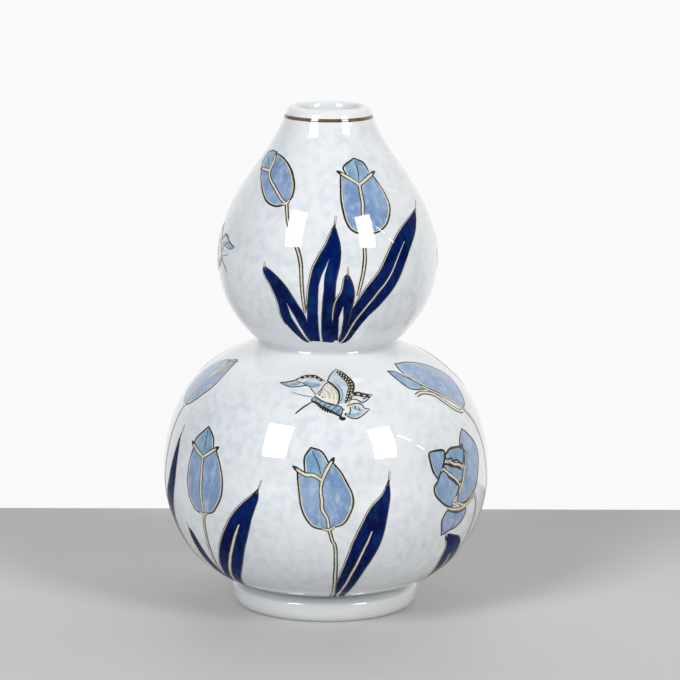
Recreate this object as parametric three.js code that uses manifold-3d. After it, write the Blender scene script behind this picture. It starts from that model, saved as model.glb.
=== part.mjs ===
// Double-gourd tulip vase in glazed ceramic, millimetres, +Z up.
// The origin is the centre of the standing ring, on the table. The side with
// the two tall tulips and the butterfly faces -Y.
//
// The ceramic is six thrown rings, luted one on top of the other at level
// faces. The painting is raised enamel: one thin piece for each flower, leaf
// and butterfly, brushed on the outside of the two bulbs.

import * as THREE from 'three';
import * as BufferGeometryUtils from 'three/addons/utils/BufferGeometryUtils.js';
import { TessellateModifier } from 'three/addons/modifiers/TessellateModifier.js';
import Module from 'manifold-3d';

const wasm = await Module();
wasm.setup();

// Foot
const footRadius = 40.7;
const footHeight = 8.2;
const standRadius = 37.6;
const standWidth = 4.4;
const footRecess = 6;
const ledgeFall = 3;
const footTuck = 0.15;
const footSeatRadius = 38.3;

// Lower bulb
const lowerBellyRadius = 71.2;
const lowerBellyHeight = 57.3;
const footFlare = 15.5;
const floorHeight = 12.4;
const floorRadius = 27;

// Waist
const waistRadius = 29.6;
const waistHeight = 116.9;
const waistSlopeBelow = 153;
const waistSlopeAbove = 40.6;

// Upper bulb and neck
const upperBellyRadius = 47.5;
const upperBellyHeight = 152.4;
const neckRadius = 19;
const neckHeight = 215.3;
const neckSlope = 107;
const neckJointDrop = 11;

// Mouth: the lip rises from the neck
const lipRise = 3.9;
const lipCrestRadius = 15.6;
const mouthRadius = 13.6;
const mouthDepth = 5;

// Walls and fits
const wall = 4;
const fitGap = 0.3;

// How round each stretch of the side is: the pull at its lower and its upper
// end, as a share of the rise or the run that it covers
const lowerBowlRound = { start: 0.9, end: 0.13 };
const lowerDomeRound = { start: 0.785, end: 0.28 };
const upperBowlRound = { start: 0.31, end: 0.59 };
const shoulderRound = { start: 0.47, end: 0.73 };

// Enamel, in mm, and the share of a stroke's length at which it is fullest
const enamelThickness = 0.4;
const stemWidth = 1.6;
const rimLineWidth = 1.1;
const sheathWidth = 4;
const leafRoot = 0.12;
const leafFullest = 0.5;
const leafBlunt = 0.8;
const petalBlunt = 0.7;

// Fineness: how many flats go round the vase, into each stretch of its side
// and along a stroke, and how far a flat of enamel may cut into its gap
const sides = 40;
const outerSteps = { lowerBowl: 6, lowerDome: 8, upperBowl: 5, shoulder: 8 };
const innerSteps = { lowerBowl: 5, lowerDome: 6, waist: 3, upperBowl: 3, shoulder: 6 };
const roundSteps = 3;
const strokeSteps = 5;
const facetSag = 0.2;
const bandEdge = 0.2;
const leastEdge = 0.05;
const sameVertex = 1e-4;
const mostSplits = 8;

const porcelain = { color: 0xe6eaf0, roughness: 0.12, metalness: 0 };
const petalBlue = { color: 0x9fb8e0, roughness: 0.2, metalness: 0 };
const leafBlue = { color: 0x0b1560, roughness: 0.2, metalness: 0 };
const wingBlue = { color: 0xa9c4cf, roughness: 0.2, metalness: 0 };
const rimBrown = { color: 0x6a4a22, roughness: 0.25, metalness: 0 };

const quarterTurn = 90;
const halfTurn = 180;

const degrees = THREE.MathUtils.degToRad;
const point = (x, y) => new THREE.Vector2(x, y);
const heading = (angle) => point(Math.cos(degrees(angle)), Math.sin(degrees(angle)));

// The side of the vase, as curves of radius against height

const seatHeight = footHeight + ledgeFall;
const neckJointHeight = neckHeight - neckJointDrop;
const lipHeight = neckHeight + lipRise;

const seat = point(footSeatRadius, seatHeight);
const lowerBelly = point(lowerBellyRadius, lowerBellyHeight);
const waist = point(waistRadius, waistHeight);
const upperBelly = point(upperBellyRadius, upperBellyHeight);
const neck = point(neckRadius, neckHeight);

// From a sloping end up to a belly, where the side stands upright
function risingToBelly(from, slope, belly, round) {
  const run = belly.x - from.x;
  const rise = belly.y - from.y;
  const pull = heading(slope).multiplyScalar(run * round.start);
  const lift = point(0, rise * round.end);
  return new THREE.CubicBezierCurve(from, from.clone().add(pull), belly.clone().sub(lift), belly);
}

// From a belly up to a sloping end
function risingFromBelly(belly, to, slope, round) {
  const run = belly.x - to.x;
  const rise = to.y - belly.y;
  const lift = point(0, rise * round.start);
  const pull = heading(slope).multiplyScalar(run * round.end);
  return new THREE.CubicBezierCurve(belly, belly.clone().add(lift), to.clone().sub(pull), to);
}

const lowerBowl = risingToBelly(seat, footFlare, lowerBelly, lowerBowlRound);
const lowerDome = risingFromBelly(lowerBelly, waist, waistSlopeBelow, lowerDomeRound);
const upperBowl = risingToBelly(waist, waistSlopeAbove, upperBelly, upperBowlRound);
const shoulder = risingFromBelly(upperBelly, neck, neckSlope, shoulderRound);

const lipCrest = point(lipCrestRadius, lipHeight);
const lipOutside = new THREE.CubicBezierCurve(
  neck,
  neck.clone().add(heading(neckSlope).multiplyScalar(lipRise / 2)),
  point((neckRadius + lipCrestRadius) / 2, lipHeight),
  lipCrest,
);
const mouth = point(mouthRadius, lipHeight - mouthDepth);
const lipInside = new THREE.QuadraticBezierCurve(lipCrest, point(mouthRadius, lipHeight), mouth);

// Points of a curve moved inwards by the wall
function innerPoints(curve, steps) {
  return Array.from({ length: steps + 1 }, (unused, step) => {
    const tangent = curve.getTangent(step / steps);
    const inwards = point(-tangent.y, tangent.x).multiplyScalar(wall);
    return curve.getPoint(step / steps).add(inwards);
  });
}

// Points of the round inside the waist, where both inner walls turn about it
function waistRound(steps) {
  const last = waistSlopeAbove + quarterTurn;
  const first = waistSlopeBelow + quarterTurn;
  return Array.from({ length: steps + 1 }, (unused, step) => {
    const angle = THREE.MathUtils.lerp(first, last, step / steps);
    return waist.clone().add(heading(angle).multiplyScalar(wall));
  });
}

// A line of points is cut to the band between two heights, and drops a point
// that would lie next to a cut
function band(points, low, high) {
  const atHeight = (height) => {
    const above = points.find((place) => place.y >= height) ?? points.at(-1);
    const below = points.findLast((place) => place.y <= height) ?? points[0];
    const share = THREE.MathUtils.inverseLerp(below.y, above.y, height);
    return point(THREE.MathUtils.lerp(below.x, above.x, share), height);
  };
  const between = points.filter((place) => place.y > low + bandEdge && place.y < high - bandEdge);
  return [atHeight(low), ...between, atHeight(high)];
}

const outerSide = [
  ...lowerBowl.getPoints(outerSteps.lowerBowl),
  ...lowerDome.getPoints(outerSteps.lowerDome).slice(1),
  ...upperBowl.getPoints(outerSteps.upperBowl).slice(1),
  ...shoulder.getPoints(outerSteps.shoulder).slice(1),
];

const innerSide = [
  ...innerPoints(lowerBowl, innerSteps.lowerBowl),
  ...innerPoints(lowerDome, innerSteps.lowerDome).slice(1, -1),
  ...waistRound(innerSteps.waist),
  ...innerPoints(upperBowl, innerSteps.upperBowl).slice(1),
  ...innerPoints(shoulder, innerSteps.shoulder).slice(1, -1),
  mouth,
];

// Meshes

function namedMesh(name, geometry, finish) {
  const mesh = new THREE.Mesh(geometry, new THREE.MeshStandardMaterial(finish));
  mesh.name = name;
  return mesh;
}

// A closed outline of radius against height, walked with the solid on its
// left, is turned about the axis
function turned(outline) {
  return new THREE.LatheGeometry([...outline, outline[0]], sides).rotateX(Math.PI / 2);
}

function ceramicRing(name, low, high) {
  const outside = band(outerSide, low, high);
  const inside = band(innerSide, low, high).reverse();
  return namedMesh(name, turned([...outside, ...inside]), porcelain);
}

const spigotRadius = standRadius - standWidth - fitGap;

function footRing() {
  const side = new THREE.QuadraticBezierCurve(
    point(standRadius, 0),
    point(footRadius, footHeight * footTuck),
    point(footRadius, footHeight),
  );
  const bore = standRadius - standWidth;
  const outline = [point(bore, 0), ...side.getPoints(roundSteps), seat, point(bore, seatHeight)];
  return namedMesh('foot_ring', turned(outline), porcelain);
}

// The bowl's flat base drops into the foot ring as a short spigot
function lowerBulbBowl() {
  const outside = band(outerSide, seatHeight, lowerBellyHeight);
  const inside = band(innerSide, innerSide[0].y, lowerBellyHeight).reverse();
  const outline = [
    point(0, footRecess),
    point(spigotRadius, footRecess),
    point(spigotRadius, seatHeight),
    ...outside,
    ...inside,
    point(floorRadius, floorHeight),
    point(0, floorHeight),
  ];
  return namedMesh('lower_bulb_bowl', turned(outline), porcelain);
}

function mouthRing() {
  const outside = band(outerSide, neckJointHeight, neckHeight);
  const inside = band(innerSide, neckJointHeight, mouth.y).reverse();
  const outline = [
    ...outside,
    ...lipOutside.getPoints(roundSteps).slice(1),
    ...lipInside.getPoints(roundSteps).slice(1),
    ...inside.slice(1),
  ];
  return namedMesh('mouth_ring', turned(outline), porcelain);
}

// The brown line is a thin hoop on the neck, just below the lip
function rimLine() {
  const along = shoulder.getTangent(1);
  const outwards = point(along.y, -along.x);
  const corner = (rise, lift) => neck.clone()
    .addScaledVector(along, rise)
    .addScaledVector(outwards, lift);
  const outline = [
    corner(-rimLineWidth, fitGap),
    corner(-rimLineWidth, fitGap + enamelThickness),
    corner(0, fitGap + enamelThickness),
    corner(0, fitGap),
  ];
  return namedMesh('rim_line', turned(outline), rimBrown);
}

// Painting on a bulb. A place is an angle round the vase, in degrees from the
// side that faces -Y, and a height, in percent of the painted band's length.
// Sizes of a motif are in degrees of the belly's circle.

function makeBulb(curves, bellyRadius) {
  const side = new THREE.CurvePath();
  curves.forEach((curve) => side.add(curve));
  const length = side.getLength();
  return {
    facet: Math.sqrt(8 * bellyRadius * facetSag),
    degree: degrees(1) * bellyRadius,
    percent: length / 100,
    at: (along) => side.getPoint(THREE.MathUtils.clamp(along / length, 0, 1)),
    tangent: (along) => side.getTangent(THREE.MathUtils.clamp(along / length, 0, 1)),
  };
}

const bulbs = {
  lower: makeBulb([lowerBowl, lowerDome], lowerBellyRadius),
  upper: makeBulb([upperBowl, shoulder], upperBellyRadius),
};

// A place on the bulb becomes a point of the motif's own flat sheet, in mm
function onSheet(bulb, middle, [angle, height]) {
  const along = height * bulb.percent;
  return point(degrees(angle - middle) * bulb.at(along).x, along);
}

// The flat sheet, with its thickness outwards, is laid on the bulb
function laidOn(geometry, bulb, middle) {
  const place = geometry.attributes.position;
  for (let i = 0; i < place.count; i += 1) {
    const along = place.getY(i);
    const side = bulb.at(along);
    const tangent = bulb.tangent(along);
    const angle = degrees(middle) + place.getX(i) / side.x;
    const lift = place.getZ(i);
    const radius = side.x + lift * tangent.y;
    place.setXYZ(i, radius * Math.sin(angle), -radius * Math.cos(angle), side.y - lift * tangent.x);
  }
  return geometry;
}

// A brush stroke: a curve with a half width at each share of its length. Its
// pointed ends drop one of their two meeting points.
function stroke(curve, halfWidth) {
  const left = [];
  const right = [];
  for (let step = 0; step <= strokeSteps; step += 1) {
    const share = step / strokeSteps;
    const tangent = curve.getTangent(share);
    const across = point(-tangent.y, tangent.x).multiplyScalar(halfWidth(share));
    left.push(curve.getPoint(share).add(across));
    right.push(curve.getPoint(share).sub(across));
  }
  const outline = [...right, ...left.reverse()];
  const apart = (place, i) => place.distanceTo(outline[(i + 1) % outline.length]) > leastEdge;
  return new THREE.Shape(outline.filter(apart));
}

// A half width that swells to its most at the share named fullest. A smaller
// blunt gives rounder ends, and a start above 0 a root that is cut off broad.
const swell = (most, fullest, blunt, start = 0) => (share) => {
  const eased = share ** (Math.log(0.5) / Math.log(fullest));
  return most * Math.sin(Math.PI * (start + (1 - start) * eased)) ** blunt;
};

function solidOf(shape) {
  const geometry = new THREE.ExtrudeGeometry(shape, { depth: enamelThickness, bevelEnabled: false });
  geometry.translate(0, 0, fitGap);
  geometry.deleteAttribute('normal');
  geometry.deleteAttribute('uv');
  const merged = BufferGeometryUtils.mergeVertices(geometry, sameVertex);
  return new wasm.Manifold(new wasm.Mesh({
    numProp: 3,
    vertProperties: new Float32Array(merged.attributes.position.array),
    triVerts: new Uint32Array(merged.index.array),
  }));
}

// The strokes of a motif run together into one thin piece
function enamel(name, bulb, middle, strokes, finish) {
  const joined = strokes.map(solidOf).reduce((whole, next) => whole.add(next)).getMesh();
  const flat = new THREE.BufferGeometry();
  flat.setAttribute('position', new THREE.BufferAttribute(joined.vertProperties, 3));
  flat.setIndex(new THREE.BufferAttribute(joined.triVerts, 1));
  const fine = new TessellateModifier(bulb.facet, mostSplits).modify(flat);
  const whole = BufferGeometryUtils.mergeVertices(fine, sameVertex);
  return namedMesh(name, laidOn(whole, bulb, middle), finish);
}

// A leaf rises from its root and bends to its tip
function leafStroke(bulb, middle, leaf) {
  const root = onSheet(bulb, middle, leaf.root);
  const tip = onSheet(bulb, middle, leaf.tip);
  const run = tip.clone().sub(root);
  const side = point(run.y, -run.x).multiplyScalar(leaf.bend);
  const control = root.clone().addScaledVector(run, 0.5).add(side);
  const curve = new THREE.QuadraticBezierCurve(root, control, tip);
  const halfWidth = swell(leaf.width * bulb.degree / 2, leafFullest, leafBlunt, leafRoot);
  return stroke(curve, halfWidth);
}

// Leaves that share a root are joined there by a short level stroke
function leafClump(name, bulbName, leaves) {
  const bulb = bulbs[bulbName];
  const middle = leaves[0].root[0];
  const strokes = leaves.map((leaf) => leafStroke(bulb, middle, leaf));
  const roots = leaves.map((leaf) => onSheet(bulb, middle, leaf.root));
  roots.sort((one, other) => one.x - other.x);
  if (roots.length > 1) {
    const level = point(0, sheathWidth / 2);
    const line = new THREE.LineCurve(roots[0].add(level), roots.at(-1).add(level));
    strokes.push(stroke(line, () => sheathWidth / 2));
  }
  return enamel(name, bulb, middle, strokes, leafBlue);
}

// A petal runs from the flower's heart to its tip, in the flower's own frame:
// across and up, in shares of the flower's width and height
function petalStroke(flower, [start, control, tip], most, fullest) {
  const curve = new THREE.QuadraticBezierCurve(...[start, control, tip].map(flower.place));
  return stroke(curve, swell(most * flower.width, fullest, petalBlunt));
}

// The flower's own frame stands on its heart and leans to the right by lean
function flowerFrame(bulb, heart, width, height, lean) {
  const along = heading(quarterTurn - lean);
  const across = heading(-lean);
  const tall = height * bulb.degree;
  const wide = width * bulb.degree;
  return {
    width: wide,
    place: ([x, y]) => heart.clone()
      .addScaledVector(across, x * wide)
      .addScaledVector(along, y * tall),
  };
}

const closedPetals = [
  { line: [[0, 0.3], [0, 0.6], [0, 1]], most: 0.2, fullest: 0.6 },
  { line: [[0, 0], [-0.32, 0.36], [-0.34, 0.86]], most: 0.28, fullest: 0.47 },
  { line: [[0, 0], [0.32, 0.36], [0.34, 0.86]], most: 0.28, fullest: 0.47 },
];

const openPetals = [
  { line: [[0, 0.5], [0.1, 0.7], [0.3, 1]], most: 0.2, fullest: 0.55 },
  { line: [[0, 0.5], [-0.3, 0.7], [-0.46, 0.78]], most: 0.16, fullest: 0.55 },
  { line: [[-0.05, 0.28], [-0.3, 0.5], [-0.1, 0.8]], most: 0.2, fullest: 0.5 },
  { line: [[0.02, 0.28], [0.3, 0.4], [0.3, 0.76]], most: 0.2, fullest: 0.5 },
  { line: [[0.02, 0.34], [0.1, 0.2], [-0.08, 0]], most: 0.17, fullest: 0.45 },
];

// Where the stem starts in the flower's frame, and the point it leaves towards
const closedStem = [[0, 0.04], [0, -0.25]];
const openStem = [[0.1, 0.34], [0.5, 0.1]];

// A tulip: its petals, and its stem from the heart down to the stem's end
function tulip(name, bulbName, flower) {
  const bulb = bulbs[bulbName];
  const middle = flower.heart[0];
  const heart = onSheet(bulb, middle, flower.heart);
  const frame = flowerFrame(bulb, heart, flower.width, flower.height, flower.lean);
  const petals = (flower.open ? openPetals : closedPetals)
    .map((petal) => petalStroke(frame, petal.line, petal.most, petal.fullest));
  const end = onSheet(bulb, middle, flower.stemEnd);
  const [top, control] = (flower.open ? openStem : closedStem).map(frame.place);
  const stem = stroke(new THREE.QuadraticBezierCurve(top, control, end), () => stemWidth / 2);
  return enamel(name, bulb, middle, [...petals, stem], petalBlue);
}

// A butterfly: two pairs of wings, fore and hind, and a body between them
const wings = [
  { turn: -62, reach: 1, most: 0.2 },
  { turn: 6, reach: 0.95, most: 0.26 },
  { turn: 66, reach: 0.84, most: 0.15 },
  { turn: 98, reach: 0.8, most: 0.15 },
];
const wingFullest = 0.6;
const flyBody = { turn: -70, head: 0.35, tail: 0.62, most: 0.08 };

function butterfly(name, bulbName, fly) {
  const bulb = bulbs[bulbName];
  const middle = fly.place[0];
  const centre = onSheet(bulb, middle, fly.place);
  const size = fly.reach * bulb.degree;
  const ray = (turn, reach) => centre.clone()
    .addScaledVector(heading(quarterTurn - turn * fly.facing), size * reach);
  const wingStrokes = wings.map(({ turn, reach, most }) => stroke(
    new THREE.LineCurve(centre, ray(turn, reach)),
    swell(most * size, wingFullest, petalBlunt),
  ));
  const spine = new THREE.LineCurve(ray(flyBody.turn, flyBody.head), ray(flyBody.turn, -flyBody.tail));
  const body = stroke(spine, swell(size * flyBody.most, 0.4, petalBlunt));
  return enamel(name, bulb, middle, [...wingStrokes, body], wingBlue);
}

// The painting on the upper bulb: two tulips that rise from one clump of four
// leaves, and a butterfly. The same is painted again on the far side.

const upperTulips = {
  left: { heart: [-27, 65], lean: -36, width: 21, height: 35, stemEnd: [-11.5, 23] },
  right: { heart: [20, 54], lean: 5, width: 27, height: 41, stemEnd: [18.5, 36] },
};

const upperLeaves = [
  { root: [-2, 8], tip: [4, 60], width: 12, bend: -0.06 },
  { root: [-13, 8], tip: [-33, 40], width: 10, bend: 0.06 },
  { root: [8.5, 8], tip: [15.5, 40], width: 8, bend: 0 },
  { root: [10, 8], tip: [67, 63], width: 15, bend: 0.1 },
];

const upperButterfly = { place: [-76.5, 37], reach: 21, facing: -1 };

// The painting on the lower bulb: single tulips with a leaf each, and a
// butterfly above the front one

const lowerTulips = {
  front: { heart: [1.5, 38], lean: -12, width: 19.5, height: 28.5, stemEnd: [3.5, 3] },
  left: { heart: [-47, 38.5], lean: -3, width: 17, height: 29, stemEnd: [-51.5, 15] },
  far_left: { heart: [-74, 69], lean: 13, width: 17, height: 24, stemEnd: [-82, 12] },
  high_right: { heart: [70, 70], lean: -36, width: 20, height: 27, stemEnd: [82, 14] },
  right: { heart: [49, 32], lean: 8, width: 28, height: 34, stemEnd: [72, 12], open: true },
};

const lowerLeaves = {
  front: [{ root: [9.5, 3], tip: [23, 55], width: 9.5, bend: 0.02 }],
  left: [
    { root: [-52, 5], tip: [-23.5, 51], width: 10, bend: 0.03 },
    { root: [-57, 5], tip: [-59, 32], width: 5, bend: 0 },
  ],
  far_left: [{ root: [-76, 6], tip: [-65, 61], width: 7, bend: 0.05 }],
  right: [{ root: [60, 4], tip: [50, 29], width: 10, bend: -0.08 }],
};

const lowerButterfly = { place: [0.5, 76], reach: 18, facing: 1 };

// A motif, or a list of leaves, moved round the vase by an angle
const shifted = ([angle, height], turn) => [angle + turn, height];
const turnedFlower = (flower, turn) => ({
  ...flower,
  heart: shifted(flower.heart, turn),
  stemEnd: shifted(flower.stemEnd, turn),
});
const turnedLeaves = (leaves, turn) => leaves.map((leaf) => ({
  ...leaf,
  root: shifted(leaf.root, turn),
  tip: shifted(leaf.tip, turn),
}));
const turnedFly = (fly, turn) => ({ ...fly, place: shifted(fly.place, turn) });

const vase = new THREE.Group();

vase.add(
  footRing(),
  lowerBulbBowl(),
  ceramicRing('lower_bulb_dome', lowerBellyHeight, waistHeight),
  ceramicRing('upper_bulb_bowl', waistHeight, upperBellyHeight),
  ceramicRing('upper_bulb_shoulder', upperBellyHeight, neckJointHeight),
  mouthRing(),
  rimLine(),
);

for (const [half, turn] of [['near', 0], ['far', halfTurn]]) {
  vase.add(
    leafClump(`upper_leaves_${half}`, 'upper', turnedLeaves(upperLeaves, turn)),
    butterfly(`upper_butterfly_${half}`, 'upper', turnedFly(upperButterfly, turn)),
    butterfly(`lower_butterfly_${half}`, 'lower', turnedFly(lowerButterfly, turn)),
  );
  for (const [side, flower] of Object.entries(upperTulips)) {
    vase.add(tulip(`upper_tulip_${side}_${half}`, 'upper', turnedFlower(flower, turn)));
  }
  for (const [side, flower] of Object.entries(lowerTulips)) {
    vase.add(tulip(`lower_tulip_${side}_${half}`, 'lower', turnedFlower(flower, turn)));
  }
  for (const [side, leaves] of Object.entries(lowerLeaves)) {
    vase.add(leafClump(`lower_leaf_${side}_${half}`, 'lower', turnedLeaves(leaves, turn)));
  }
}

export default vase;
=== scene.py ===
import math

import bpy
import numpy as np
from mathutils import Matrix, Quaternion, Vector


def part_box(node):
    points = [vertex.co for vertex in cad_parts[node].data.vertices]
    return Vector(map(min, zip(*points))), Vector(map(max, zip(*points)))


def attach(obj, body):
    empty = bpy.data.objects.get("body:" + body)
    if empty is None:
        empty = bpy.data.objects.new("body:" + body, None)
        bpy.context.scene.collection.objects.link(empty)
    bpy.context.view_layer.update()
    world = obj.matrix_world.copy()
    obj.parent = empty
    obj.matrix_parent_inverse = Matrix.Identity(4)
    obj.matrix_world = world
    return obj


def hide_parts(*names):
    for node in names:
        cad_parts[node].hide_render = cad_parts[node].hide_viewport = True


# %% [markdown]
# A painted double-gourd vase
#
# The real vase is white porcelain under a glossy clear glaze. Both bulbs are
# dabbed with a thin blue-grey wash and painted with tulips, leaves and
# butterflies. The CAD frame holds its size and its pieces. Here each piece is
# made again as a fine surface with its finish: the clay rings are turned, and
# the painting is brushed on a flat sheet that is then laid on the bulb.
#
# The frame could be redrawn by hand, but reading it keeps every size in one
# place, so the cell below loads it and measures its box first.

# %% Load the frame
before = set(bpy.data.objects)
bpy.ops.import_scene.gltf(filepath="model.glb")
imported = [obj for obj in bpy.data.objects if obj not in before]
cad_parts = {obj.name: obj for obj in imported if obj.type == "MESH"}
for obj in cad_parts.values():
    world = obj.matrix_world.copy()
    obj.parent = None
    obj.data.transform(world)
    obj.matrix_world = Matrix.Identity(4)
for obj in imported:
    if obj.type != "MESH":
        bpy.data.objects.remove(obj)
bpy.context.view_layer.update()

# %% [markdown]
# The side of the vase
#
# A thrown vase is round, so its whole form is one line of radius against
# height. It could be measured as many points, but a few bends say the same:
# each stretch between a foot, belly, waist or neck is one cubic curve with a
# pull at both ends. Heights and belly radii come from the frame's own pieces.

# %% Sizes read from the frame
_, foot_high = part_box("foot_ring")
dome_low, dome_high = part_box("lower_bulb_dome")
shoulder_low, shoulder_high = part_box("upper_bulb_shoulder")
mouth_low, mouth_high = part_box("mouth_ring")

foot_radius = foot_high.x
seat_height = foot_high.z
lower_belly = (dome_high.x, dome_low.z)
waist_height = dome_high.z
upper_belly = (shoulder_high.x, shoulder_low.z)
neck_joint_height = mouth_low.z
lip_height = mouth_high.z
print("vase height", round(lip_height, 4), "widest radius", round(lower_belly[0], 4))

# %% Sizes that no box shows, in metres, and slopes in degrees
seat_radius = 0.0383
waist_radius = 0.0296
neck_radius = 0.019
lip_rise = 0.0039
lip_crest_radius = 0.0156
mouth_radius = 0.0136
mouth_depth = 0.005
stand_radius = 0.0376
stand_width = 0.0044
foot_height = 0.0082
foot_tuck = 0.15
foot_recess = 0.006
floor_radius = 0.027
floor_height = 0.0124
wall = 0.004
spigot_gap = 0.0003

foot_flare = 15.5
waist_slope_below = 153
waist_slope_above = 40.6
neck_slope = 107
neck_height = lip_height - lip_rise


# %% The side as four curves
def heading(angle):
    return np.array([math.cos(math.radians(angle)), math.sin(math.radians(angle))])


def bend(points, count):
    """Points along a curve between the first and last of these, pulled by those between."""
    t = np.linspace(0, 1, count)[:, None]
    rows = [np.array(point) for point in points]
    while len(rows) > 1:
        rows = [(1 - t) * a + t * b for a, b in zip(rows, rows[1:])]
    return rows[0]


upright = 90
side_points = 400


def side_stretch(start, end, slopes, pulls):
    """One part of the side, with its slope and its pull at the start and at the end."""
    start, end = np.array(start), np.array(end)
    run, rise = abs(end - start)
    first, last = (
        heading(slope) * (rise if slope == upright else run) * pull for slope, pull in zip(slopes, pulls)
    )
    return bend([start, start + first, end - last, end], side_points)


seat = (seat_radius, seat_height)
waist = (waist_radius, waist_height)
neck = (neck_radius, neck_height)
lower_bowl = side_stretch(seat, lower_belly, (foot_flare, upright), (0.9, 0.13))
lower_dome = side_stretch(lower_belly, waist, (upright, waist_slope_below), (0.785, 0.28))
upper_bowl = side_stretch(waist, upper_belly, (waist_slope_above, upright), (0.31, 0.59))
upper_shoulder = side_stretch(upper_belly, neck, (upright, neck_slope), (0.47, 0.73))


# %% Lengths and outward directions along the side
class Side:
    """One bulb's side: its points, the length up to each and the way out of the clay."""

    def __init__(self, name, stretches):
        self.name = name
        self.points = np.vstack([stretches[0], *[part[1:] for part in stretches[1:]]])
        steps = np.linalg.norm(np.diff(self.points, axis=0), axis=1)
        self.lengths = np.concatenate([[0], np.cumsum(steps)])
        self.length = self.lengths[-1]
        self.belly = self.points[:, 0].max()
        along = np.gradient(self.points, self.lengths, axis=0)
        along /= np.linalg.norm(along, axis=1)[:, None]
        self.outwards = np.column_stack([along[:, 1], -along[:, 0]])

    def at_height(self, values, height):
        """Values given for each point, read at these heights."""
        return np.interp(height, self.points[:, 1], values)

    def at_length(self, values, length):
        """Values given for each point, read at these lengths along the side."""
        return np.interp(length, self.lengths, values)

    def between(self, low, high, step):
        """Evenly spaced points from one height to the other, and the ways out there."""
        first, last = self.at_height(self.lengths, low), self.at_height(self.lengths, high)
        where = np.linspace(first, last, max(2, round((last - first) / step) + 1))
        columns = [*self.points.T, *self.outwards.T]
        found = np.column_stack([self.at_length(column, where) for column in columns])
        return found[:, :2], found[:, 2:]


sides = {
    "lower": Side("lower", [lower_bowl, lower_dome]),
    "upper": Side("upper", [upper_bowl, upper_shoulder]),
}
for side in sides.values():
    print(side.name, "side is", round(side.length, 4), "m long")

# %% [markdown]
# Small helpers for node trees
#
# Every tree below, for shapes or for finishes, is made of nodes whose inputs
# are either a plain value or a link from another node. Writing both in one
# call keeps a tree as short as the idea behind it.


# %% Node helpers
def add_node(tree, kind, inputs=None, **settings):
    """The outputs of a new node, after its inputs are linked to a socket or set to a value."""
    family = "GeometryNode" if hasattr(bpy.types, f"GeometryNode{kind}") else "ShaderNode"
    made = tree.nodes.new(family + kind)
    for name, value in settings.items():
        setattr(made, name, value)
    for name, value in (inputs or {}).items():
        if isinstance(value, bpy.types.NodeSocket):
            tree.links.new(value, made.inputs[name])
        else:
            made.inputs[name].default_value = value
    return made.outputs


def flow(tree, kind, inputs=None, **settings):
    """The first output of a new node."""
    return add_node(tree, kind, inputs, **settings)[0]


def maths(tree, operation, *values, clamp=False):
    """The result of one sum on sockets or numbers."""
    return flow(tree, "Math", dict(enumerate(values)), operation=operation, use_clamp=clamp)


def split(tree, vector):
    """The X, Y and Z of a vector."""
    return add_node(tree, "SeparateXYZ", {"Vector": vector})


# %% Attributes, places and trees
def read(tree, name):
    """The number that each point of a shape keeps under this name."""
    return flow(tree, "InputNamedAttribute", {"Name": name})


def store(tree, shape, name, value):
    """The shape, with this number kept on its points."""
    return flow(tree, "StoreNamedAttribute", {"Geometry": shape, "Name": name, "Value": value})


def about_the_axis(tree, radius, angle, height):
    """The place at this radius and height, this far round the vase from its front."""
    return flow(tree, "CombineXYZ", {
        "X": maths(tree, "MULTIPLY", radius, maths(tree, "SINE", angle)),
        "Y": maths(tree, "MULTIPLY", maths(tree, "MULTIPLY", radius, -1.0), maths(tree, "COSINE", angle)),
        "Z": height,
    })


def new_shape_tree(name, inputs):
    """An empty Geometry Nodes tree with a shape in, a shape out and these named inputs."""
    tree = bpy.data.node_groups.new(name, "GeometryNodeTree")
    for label, kind in {"Geometry": "Geometry", **inputs}.items():
        tree.interface.new_socket(label, in_out="INPUT", socket_type=f"NodeSocket{kind}")
    tree.interface.new_socket("Geometry", in_out="OUTPUT", socket_type="NodeSocketGeometry")
    start = tree.nodes.new("NodeGroupInput")
    end = tree.nodes.new("NodeGroupOutput")
    return tree, start.outputs, end.inputs["Geometry"]


def new_object(name, data):
    """An object in the scene, at the origin."""
    made = bpy.data.objects.new(name, data)
    bpy.context.scene.collection.objects.link(made)
    return made


def grow(name, source, tree, values):
    """The plain mesh that a tree makes of a source mesh, as a new object at the origin."""
    seed = new_object(name, source)
    modifier = seed.modifiers.new(tree.name, "NODES")
    modifier.node_group = tree
    for item in tree.interface.items_tree:
        if item.in_out == "INPUT" and item.name in values:
            modifier[item.identifier] = values[item.name]
    graph = bpy.context.evaluated_depsgraph_get()
    mesh = bpy.data.meshes.new_from_object(seed.evaluated_get(graph), depsgraph=graph)
    seed.modifiers.remove(modifier)
    bpy.data.objects.remove(seed)
    mesh.name = name
    return new_object(name, mesh)


# %% [markdown]
# Finishes: the glaze
#
# Under the clear glaze the white clay is dabbed all over both bulbs with a
# damp brush of thin blue-grey, which leaves soft spots a few millimetres wide.
# An image could hold the spots, but noise at two sizes makes them for the
# whole vase without a seam. The wash thins out to plain white at the foot, the
# waist and the lip, so its strength follows the height. The spots change only
# the colour: the glaze above them stays smooth and sharply glossy.


# %% Finishes and colours
def new_finish(name, roughness, coat=1.0, gloss=0.12):
    """A material with its shader, whose plain values sit on the shader's own sockets."""
    finish = bpy.data.materials.new(name)
    finish.use_nodes = True
    shader = finish.node_tree.nodes["Principled BSDF"]
    for label, value in {
        "Roughness": roughness, "IOR": 1.5, "Specular IOR Level": gloss,
        "Coat Weight": coat, "Coat Roughness": 0.03, "Coat IOR": 1.6,
    }.items():
        shader.inputs[label].default_value = value
    return finish, finish.node_tree, shader


def object_place(tree):
    """Where a point lies on the vase, in metres."""
    return add_node(tree, "TexCoord")["Object"]


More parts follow.
